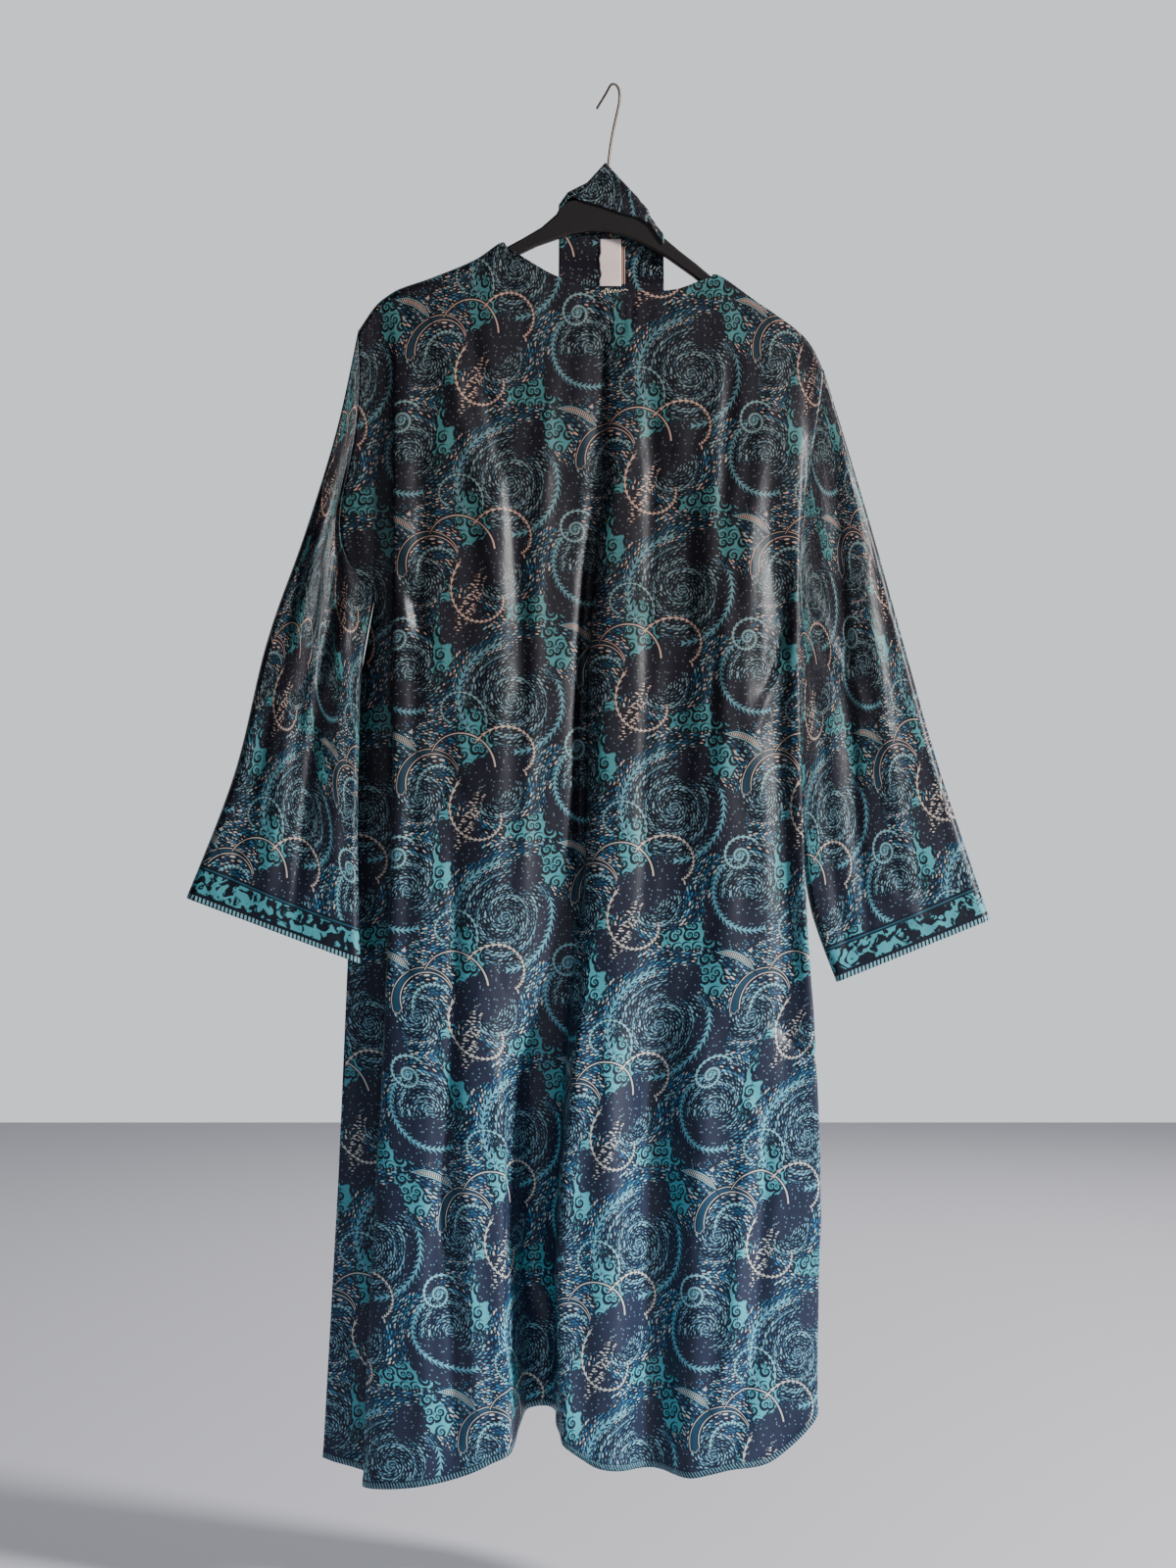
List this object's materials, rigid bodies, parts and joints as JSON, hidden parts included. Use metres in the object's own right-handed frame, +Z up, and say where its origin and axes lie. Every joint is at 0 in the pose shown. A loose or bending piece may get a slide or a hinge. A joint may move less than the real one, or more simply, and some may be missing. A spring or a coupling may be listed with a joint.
{
  "type": "reversible kimono on a clothes hanger",
  "caption": "Loose long-sleeved kimono robe in paisley silk, hung flat with its back outwards on a plastic hanger with a wire hook, neckband folded over the hanger",
  "frame": {"origin": "the underside of the crown of the hanger's hook, where a rail holds it up", "axes": "+Z up along the hung garment, +X towards the sleeve on the right as the back is seen, -Y out of the garment's back"},
  "size_m": [0.794, 0.0688, 1.3826],
  "materials": {
    "silk": "printed silk satin, soft sheen",
    "label_tape": "woven tape, matt",
    "hanger_plastic": "moulded, satin",
    "hook_steel": "dull drawn wire"
  },
  "bodies": {
    "root": {"back": "silk", "front_left": "silk", "front_right": "silk", "band_left": "silk", "band_right": "silk", "sleeve_left": "silk", "sleeve_right": "silk", "neckband": "silk", "label": "label_tape", "label_under": "label_tape", "hanger": "hanger_plastic", "hook": "hook_steel"}
  },
  "joints": []
}
